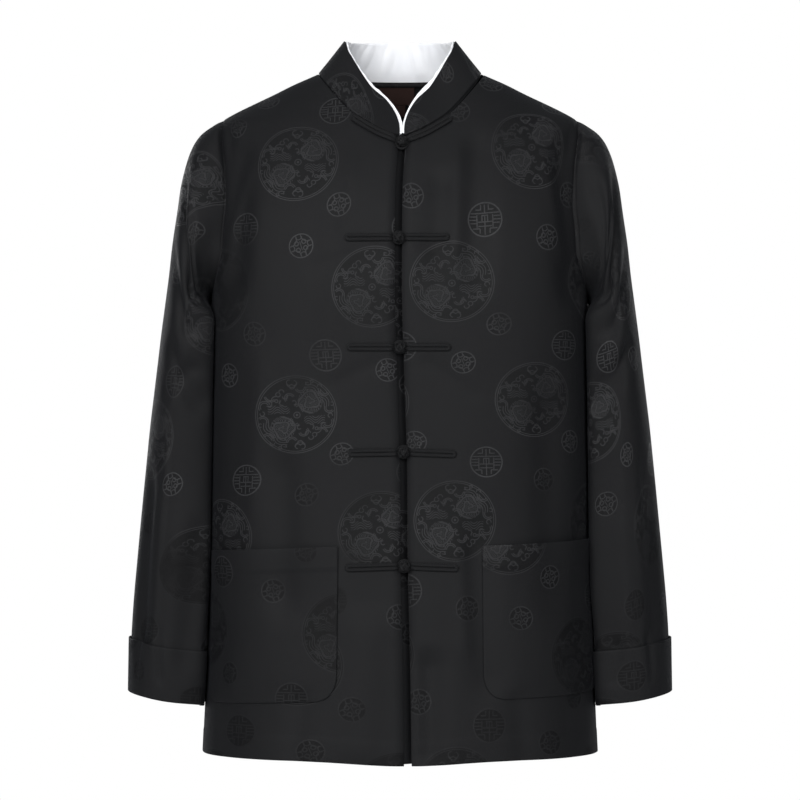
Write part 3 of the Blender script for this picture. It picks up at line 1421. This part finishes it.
def cuff_grids(sleeve, normals):
    columns = []
    for column, normal in zip(np.moveaxis(sleeve, 1, 0), np.moveaxis(normals, 1, 0)):
        length = running_length(column)
        at = length[-1] - CUFF_HEIGHT * np.linspace(1, 0, CUFF_ROWS + 1)
        at[-1] += CUFF_BELOW
        points = [np.interp(at, length, axis) for axis in column.T]
        directions = [np.interp(at, length, axis) for axis in normal.T]
        columns.append((np.stack(points, -1), unit(np.stack(directions, -1))))
    points, directions = (np.stack(part, axis=1) for part in zip(*columns))
    air = SEAM + CUFF_EASE * np.linspace(1, 0, CUFF_ROWS + 1)
    inner = points + air[:, None, None] * directions
    return inner + DOUBLE_CLOTH * directions, inner


for side, hand in SIDES:
    lower = sleeve_outer[hand][len(ALLOWANCE):]
    outer, inner = (grid * (side, 1, 1) for grid in cuff_grids(lower, sleeve_normals))
    cloth = sleeve_layout(outer, turn) * (-side, 1)
    sew(f"cuff_{hand}_cloth", outer, inner, cloth, f"cuff_{hand}",
        pattern=cloth - CUFF_PATTERN[hand], edge=CUFF_ROUND, around=True)

# %% [markdown]
# ## Stand collar and its satin liner
#
# The band leans in from the neckline and its two front ends are rounded. Below the seam
# it runs on under the panels for a few millimetres, so the joint is closed. A white
# satin liner stands a few millimetres proud inside it, so that the brocade never rubs
# the neck. The liner's cloth is loose, so it falls in soft folds.

# %% The collar's surface
COLLAR_CELLS = 44
COLLAR_ROWS = 18
COLLAR_ROUND = 0.0006


def collar_surface(angle, share):
    """The band at angles round the neck, a share of its height above the neckline."""
    turn = abs(angle)
    front = turn <= math.pi / 2
    out = NECK_HALF_WIDTH * np.sin(turn)
    base_z = np.where(front, curve_through(FRONT_NECKLINE, 1, out),
                      curve_through(BACK_NECKLINE, 1, out))
    base_y = np.where(front, -depth_at(out, base_z, FRONT), depth_at(out, base_z, BACK))
    hand = np.sign(angle + 1e-12)
    base = np.stack([out * hand, base_y, base_z], axis=-1)
    top_depth = np.where(front, COLLAR_TOP_FRONT, COLLAR_TOP_BACK)
    top = np.stack([COLLAR_TOP_HALF_WIDTH * np.sin(turn) * hand, -top_depth * np.cos(turn),
                    curve_through(COLLAR_TOP, 1, np.degrees(turn))], axis=-1)
    return base + unit(top - base) * (share * COLLAR_HEIGHT)[..., None]


def neck_angles(face, cells):
    fine = np.linspace(0, math.pi / 2, 200)
    out = NECK_HALF_WIDTH * np.sin(fine)
    rows = FRONT_NECKLINE if face == FRONT else BACK_NECKLINE
    length = running_length(flatten(out, curve_through(rows, 1, out), face))
    return np.interp(np.linspace(0, length[-1], cells + 1), length, fine)


def collar_stations(cells):
    front = neck_angles(FRONT, cells)
    front[0] = 0.5 * OPENING / NECK_HALF_WIDTH
    back = math.pi - neck_angles(BACK, cells)
    half = np.concatenate([front, back[-2::-1]])
    length = running_length(collar_surface(half, np.zeros_like(half)))
    return np.concatenate([half, -half[-2::-1]]), np.concatenate([length, length[-2::-1]])


def collar_top_share(from_end):
    t = np.clip(from_end / COLLAR_CORNER, 0, 1)
    return COLLAR_END_SHARE + (1 - COLLAR_END_SHARE) * np.sqrt(1 - (1 - t) ** 2)


def panel_round_neck(angle, below, depth):
    """Points of the panels just below the neckline, and this far under their outer side."""
    points = np.empty(angle.shape + (3,))
    turn = abs(angle)
    out = NECK_HALF_WIDTH * np.sin(turn)
    front = turn <= math.pi / 2
    for face, piece, rows, chosen in (
        (FRONT, "front_left", FRONT_NECKLINE, front & (angle > 0)),
        (FRONT, "front_right", FRONT_NECKLINE, front & (angle <= 0)),
        (BACK, "back", BACK_NECKLINE, ~front),
    ):
        cloth = flatten(out[chosen], curve_through(rows, 1, out[chosen]), face)
        across = cloth[:, 0] * np.sign(angle[chosen])
        moved, normals = panel_points(across, cloth[:, 1] - below, face, piece)
        points[chosen] = moved - depth * normals
    return points


# %% Collar band
NECK_ALLOWANCE = [
    # below the neckline, below the panels' outer side
    (0.0026, 0.0026),
    (0.0015, 0.0026),
    (0.0003, 0.0021),
]
angle, from_end = collar_stations(COLLAR_CELLS)
top_share = collar_top_share(from_end)
rows = np.linspace(0, 1, COLLAR_ROWS + 1)[:, None]
start = COLLAR_ABOVE_SEAM / COLLAR_HEIGHT
share = start + rows * (top_share[None] - start)
points = collar_surface(np.broadcast_to(angle, share.shape), share)
normals = grid_normals(points)
sideways = np.array([float(opening_at(FRONT_NECKLINE[0][1])), 0, 0])
follows = np.clip(1 - from_end / COLLAR_FOLLOWS, 0, 1)[None, :, None] ** 2
points = points + sideways * follows
outer = points + COLLAR_OUT * normals
under = [panel_round_neck(angle, below, depth) for below, depth in NECK_ALLOWANCE]
outer = np.concatenate([under, outer])
normals = grid_normals(outer)
tucked = [np.full_like(angle, -below / COLLAR_HEIGHT) for below, _ in NECK_ALLOWANCE]
around_neck = (from_end.max() - from_end) * np.where(angle > 0, -1, 1)


def collar_cloth(share):
    """The collar laid flat: round the neck from the middle of the back, and up."""
    return np.stack([np.broadcast_to(around_neck, share.shape), share * COLLAR_HEIGHT], axis=-1)


cloth = collar_cloth(np.concatenate([tucked, share]))
sew("collar_band", outer, outer - DOUBLE_CLOTH * normals, cloth, "collar",
    pattern=cloth - COLLAR_PATTERN, edge=COLLAR_ROUND)

# %% Satin liner
LINER_AT_END = 0.75
LINER_TURN_AT, LINER_TURN_WIDTH = 0.055, 0.040
LINER_TURN_LEFT, LINER_TURN_RIGHT = 0.0034, 0.0012
LINER_PAST_END = 0.0034
LINER_PAST_FADE = 0.016
LINER_WAVES = 0.0024 * 1.4
LINER_WAVE_WIDTH = 0.016
LINER_WAVES_FROM, LINER_WAVES_WHOLE = 0.01, 0.05
LINER_SEED = 5.0

front_end = np.exp(-((from_end / LINER_PROUD_AT - 1) ** 2))
proud = LINER_PROUD_BACK + (LINER_PROUD - LINER_PROUD_BACK) * front_end
proud = proud * np.clip(from_end / LINER_PROUD_END, LINER_AT_END, 1)
turned_out = np.exp(-(((from_end - LINER_TURN_AT) / LINER_TURN_WIDTH) ** 2))
proud = proud + np.where(angle > 0, LINER_TURN_LEFT, LINER_TURN_RIGHT) * turned_out
liner_top = top_share + proud / COLLAR_HEIGHT
share = 2 * start + rows * (liner_top[None] - 2 * start)
points = collar_surface(np.broadcast_to(angle, share.shape), share)
normals = grid_normals(points)
points = points + sideways * follows
waves = abs(noise_at(around_neck / LINER_WAVE_WIDTH, share * 0.9, LINER_SEED))
waves = waves * smooth_step(LINER_WAVES_FROM, LINER_WAVES_WHOLE, from_end)
waves = waves * smooth_step(0, 0.25, rows)
past = LINER_PAST_END * np.exp(-((from_end / LINER_PAST_FADE) ** 2)) * np.where(angle > 0, -0.5, 1)
points[..., 0] += past * smooth_step(0, 0.5, rows)
depth = DOUBLE_CLOTH + SEAM - COLLAR_OUT + LINER_WAVES * waves
outer = points - depth[..., None] * normals
sew("collar_satin", outer, outer - SATIN * normals, collar_cloth(share), "collar_liner",
    finish="satin")

# %% [markdown]
# ## Neck label and size tab
#
# A bare woven label is sewn inside the back neck, with a small bare tab below it.

# %% Labels
LAID_ON = 0.0011
LABEL_THICK = 0.0006
LABEL_ROUND = 0.0002
LABELS = [
    # name, middle, width, height, distance below the back neckline
    ("neck_label", -0.0040, 0.0400, 0.0220, 0.0030),
    ("size_tab", 0.0000, 0.0120, 0.0140, 0.0256),
]

neck_height = float(neckline(BACK)[0, 1])
for name, middle, width, height, below in LABELS:
    across = middle + np.linspace(-0.5, 0.5, 25)[None] * width
    up = neck_height - below - np.linspace(1, 0, 15)[:, None] * height
    across, up = np.broadcast_arrays(across, up)
    points, normals = panel_points(across, up, BACK, "back")
    outer = points - (CLOTH + LAID_ON) * normals
    cloth = np.stack([across - middle, up - (neck_height - below - height)], axis=-1)
    sew(f"{name}_cloth", outer, outer - LABEL_THICK * normals, cloth, name,
        finish="label", edge=LABEL_ROUND)

# %% [markdown]
# ## Patch pockets
#
# Two large patch pockets with rounded lower corners are sewn on round three sides, so
# they lie close on the fronts. The middle bellies out a little and the mouth gapes, and
# 22 mm below the mouth the edge of its turned hem shows as a ridge.

# %% Pockets
POCKET_OFF = 0.0008
POCKET_THICK = 0.0012
POCKET_GAPE, GAPE_DEPTH = 0.0034, 0.050
POCKET_BELLY, BELLY_FROM = 0.0012, 0.03
POCKET_HEM, HEM_RIDGE, RIDGE_WIDTH = 0.022, 0.0006, 0.0016
POCKET_HEM_THICK, POCKET_HEM_STEP = 0.0005, 0.002
POCKET_ROUND = 0.0005
POCKET_CELLS = 64


def pocket_pattern():
    """A pocket laid flat: the share of its width, and metres from its lower inner corner."""
    s, t = np.meshgrid(*[np.linspace(0, 1, POCKET_CELLS + 1)] * 2)
    x = POCKET_WIDTH * (s - 0.5)
    up = POCKET_HEIGHT * t
    low = np.clip(1 - up / POCKET_CORNER, 0, 1)
    inset = POCKET_CORNER * (1 - np.sqrt(1 - low**2)) * 0.75
    x = x * (1 - 2 * inset / POCKET_WIDTH)
    return s, x + POCKET_WIDTH / 2, up


POCKETS = [
    # hand, inner edge along the cloth, height of the mouth's middle, outward rise, pattern
    ("right", 0.062, -0.4930, -0.0070, (-0.0564, -0.3373)),
    ("left", 0.083, -0.4865, 0.0050, (0.1090, -0.2380)),
]

for hand, inner_edge, top, outward_rise, pattern in POCKETS:
    side = 1 if hand == "left" else -1
    s, across, up = pocket_pattern()
    height = top - POCKET_HEIGHT - UNDERARM + up + outward_rise * (across / POCKET_WIDTH - 0.5)
    across = side * (inner_edge + across)
    points, normals = panel_points(across, height, FRONT, f"front_{hand}")
    from_mouth = POCKET_HEIGHT - up
    gape = POCKET_GAPE * np.sin(math.pi * s) ** 0.8 * smooth_step(GAPE_DEPTH, 0, from_mouth)
    belly = POCKET_BELLY * np.sin(math.pi * s) ** 0.6 * smooth_step(0, BELLY_FROM, up)
    ridge = HEM_RIDGE * np.exp(-(((from_mouth - POCKET_HEM) / RIDGE_WIDTH) ** 2))
    hem = POCKET_HEM_THICK * smooth_step(POCKET_HEM, POCKET_HEM - POCKET_HEM_STEP, from_mouth)
    inner = points + (POCKET_OFF + gape + belly)[..., None] * normals
    outer = inner + (POCKET_THICK + ridge + hem)[..., None] * normals
    cloth = np.stack([across, height], axis=-1)
    sew(f"pocket_{hand}_cloth", outer, inner, cloth, f"pocket_{hand}",
        pattern=cloth - pattern, edge=POCKET_ROUND)

# %% [markdown]
# ## Knotted frogs
#
# A frog is made from one satin cord. Doubled, it forms a strap on each side, closed at
# the far end and sewn down. On one side it ends in a loop, and on the other in a round
# button knot that goes through the loop.

# %% Sweeping a cord along a line
def sweep(bm, centres, ups, offs, radius_up, radius_off, sides=12, closed=False):
    """Adds a tube of oval section along a line, with UVs round it and along it."""
    turn = np.linspace(0, 2 * math.pi, sides + 1)
    if closed:
        centres, ups, offs = (np.concatenate([a, a[:1]]) for a in (centres, ups, offs))
    run = running_length(centres)
    taper = np.broadcast_to(radius_up, run.shape)[:, None, None]
    thick = np.broadcast_to(radius_off, run.shape)[:, None, None]
    rings = (centres[:, None] + taper * np.cos(turn)[None, :, None] * ups[:, None]
             + thick * np.sin(turn)[None, :, None] * offs[:, None])
    tube = bmesh.new()
    bmesh.ops.create_grid(tube, x_segments=sides, y_segments=len(run) - 1, size=1)
    uv = tube.loops.layers.uv.new("cloth")
    flat = rings.reshape(-1, 3)
    round_it = turn * float(np.mean(taper))
    for n, vert in enumerate(tube.verts):
        vert.co = flat[n]
        for loop in vert.link_loops:
            loop[uv].uv = (round_it[n % (sides + 1)], run[n // (sides + 1)])
    bmesh.ops.remove_doubles(tube, verts=tube.verts[:], dist=1e-7)
    open_edges = [e for e in tube.edges if e.is_boundary]
    if open_edges:
        bmesh.ops.holes_fill(tube, edges=open_edges, sides=0)
    bmesh.ops.recalc_face_normals(tube, faces=tube.faces[:])
    part = bpy.data.meshes.new("cord part")
    tube.to_mesh(part)
    tube.free()
    bm.from_mesh(part)
    bpy.data.meshes.remove(part)


def on_front(out, height):
    """Points on the front's outer side and its normals, by how far out and how high."""
    out, height = np.atleast_1d(out), np.atleast_1d(height)
    piece = "front_left" if out.mean() > 0 else "front_right"
    cloth = flatten(abs(out), height, FRONT)
    return panel_points(cloth[:, 0] * np.sign(out), cloth[:, 1], FRONT, piece)


# %% Straps
STRAP_THICK = 0.0030
STRAP_STATIONS = 60
STRAP_INTO_LOOP = 0.0022
CORDS_MEET = 1.02
PINCHED, PINCHED_OVER = 0.55, 8
FROGS = [
    # knot_height, right strap's (reach, rise), left strap's (reach, rise)
    (-0.0775, (0.050, None), (0.050, None)),
    (-0.1756, (0.053, 0.000), (0.050, 0.001)),
    (-0.2872, (0.052, 0.000), (0.050, 0.000)),
    (-0.3938, (0.054, -0.001), (0.052, -0.002)),
    (-0.5095, (0.058, -0.002), (0.053, -0.002)),
]


def strap_line(middle, knot_height, side, reach, rise):
    """A strap's middle line: how far out and how high. The top one follows the collar."""
    start = LOOP_RADIUS + LOOP_CORD / 2 - STRAP_INTO_LOOP
    run = np.linspace(start, reach - STRAP_HEIGHT / 4, STRAP_STATIONS)
    if rise is not None:
        return middle + side * run, knot_height + rise * run / reach
    step = 1e-4
    seam = curve_through(FRONT_NECKLINE, 1, run)
    slope = (curve_through(FRONT_NECKLINE, 1, run + step) - seam) / step
    return middle + side * run, seam - BELOW_COLLAR * np.hypot(1, slope)


def add_strap(name, out, height, replaced):
    """Two cords side by side that are one cord, turned back at the far end."""
    points, normals = on_front(out, height)
    along = unit(np.gradient(points, axis=0))
    up = unit(np.cross(normals, along))
    radius = STRAP_HEIGHT / 4
    bend = np.linspace(math.pi / 2, -math.pi / 2, 14)[1:-1]
    middle = points + (SEAM + STRAP_THICK / 2) * normals
    spoke = np.cos(bend)[:, None] * along[-1] + np.sin(bend)[:, None] * up[-1]
    pinch = np.interp(np.arange(len(out)), (0, PINCHED_OVER), (PINCHED, 1))[:, None]
    centres = np.concatenate([middle + radius * pinch * up, middle[-1] + radius * spoke,
                              (middle - radius * pinch * up)[::-1]])
    offs = np.concatenate([normals, np.repeat(normals[-1:], len(bend), axis=0), normals[::-1]])
    ways = unit(np.gradient(centres, axis=0))
    ups = unit(np.cross(offs, ways))
    bm = bmesh.new()
    sweep(bm, centres, ups, offs, radius * CORDS_MEET, STRAP_THICK / 2)
    finish_piece(name, bm, "cord", replaced)


# %% Loop and button knot
KNOT_CORD = 0.00145
KNOT_BALL = 0.00440
KNOT_WEAVE = 0.00060
KNOT_REACH = math.radians(62)
KNOT_ROUNDS, KNOT_CROSSINGS = 3, 4
CORE_SHARE = 0.95
KNOT_TURNS_ON = 0.9


def sideways_and_up(normal):
    """The two directions that lie on the cloth, for a normal that stands off it."""
    side = unit(np.cross(normal, (0.0, 0.0, 1.0)))
    return side, np.cross(side, normal)


def add_ring(name, centre, normal, replaced):
    turn = np.linspace(0, 2 * math.pi, 49)[:-1]
    side, up = sideways_and_up(normal)
    spoke = np.cos(turn)[:, None] * side + np.sin(turn)[:, None] * up
    bm = bmesh.new()
    sweep(bm, centre + LOOP_RADIUS * spoke, spoke, np.repeat(normal[None], len(turn), axis=0),
          LOOP_CORD / 2, LOOP_CORD / 2, closed=True)
    finish_piece(name, bm, "cord", replaced)


def add_knot(name, centre, normal, replaced, turned):
    """A button knot: one cord that goes three times round a ball and weaves as it goes."""
    t = np.linspace(0, 2 * math.pi, 241)[:-1]
    round_it, tilt = KNOT_ROUNDS * t + turned, KNOT_REACH * np.sin(KNOT_CROSSINGS * t)
    radius = KNOT_BALL + KNOT_WEAVE * np.sin(2 * KNOT_CROSSINGS * t)
    side, up = sideways_and_up(normal)
    spoke = ((np.cos(tilt) * np.cos(round_it))[:, None] * side
             + (np.cos(tilt) * np.sin(round_it))[:, None] * normal + np.sin(tilt)[:, None] * up)
    centres = centre + radius[:, None] * spoke
    ways = unit(np.roll(centres, -1, axis=0) - np.roll(centres, 1, axis=0))
    ups = unit(np.cross(spoke, ways))
    bm = bmesh.new()
    sweep(bm, centres, ups, np.cross(ways, ups), KNOT_CORD, KNOT_CORD, sides=10, closed=True)
    core = bmesh.ops.create_uvsphere(bm, u_segments=20, v_segments=12,
                                     radius=KNOT_BALL * CORE_SHARE)
    bmesh.ops.translate(bm, verts=core["verts"], vec=centre)
    finish_piece(name, bm, "cord", replaced)


# %% All five frogs
KNOT_OFF = math.sqrt((KNOT_DIAMETER / 2 + LOOP_CORD / 2 + SEAM) ** 2 - LOOP_RADIUS**2)

for number, (knot_height, *straps) in enumerate(FROGS, start=1):
    frog = f"frog_{number}"
    middle = float(opening_at(knot_height))
    (point,), (normal,) = on_front(middle, knot_height)
    base = point + (SEAM + LOOP_CORD / 2) * normal
    add_ring(f"{frog}_ring", base, normal, f"{frog}_loop")
    add_knot(f"{frog}_button", base + KNOT_OFF * normal, normal, f"{frog}_knot",
             KNOT_TURNS_ON * number)
    for (side, hand), (reach, rise) in zip(SIDES, straps):
        line = strap_line(middle, knot_height, side, reach, rise)
        add_strap(f"{frog}_cord_{hand}", *line, f"{frog}_strap_{hand}")
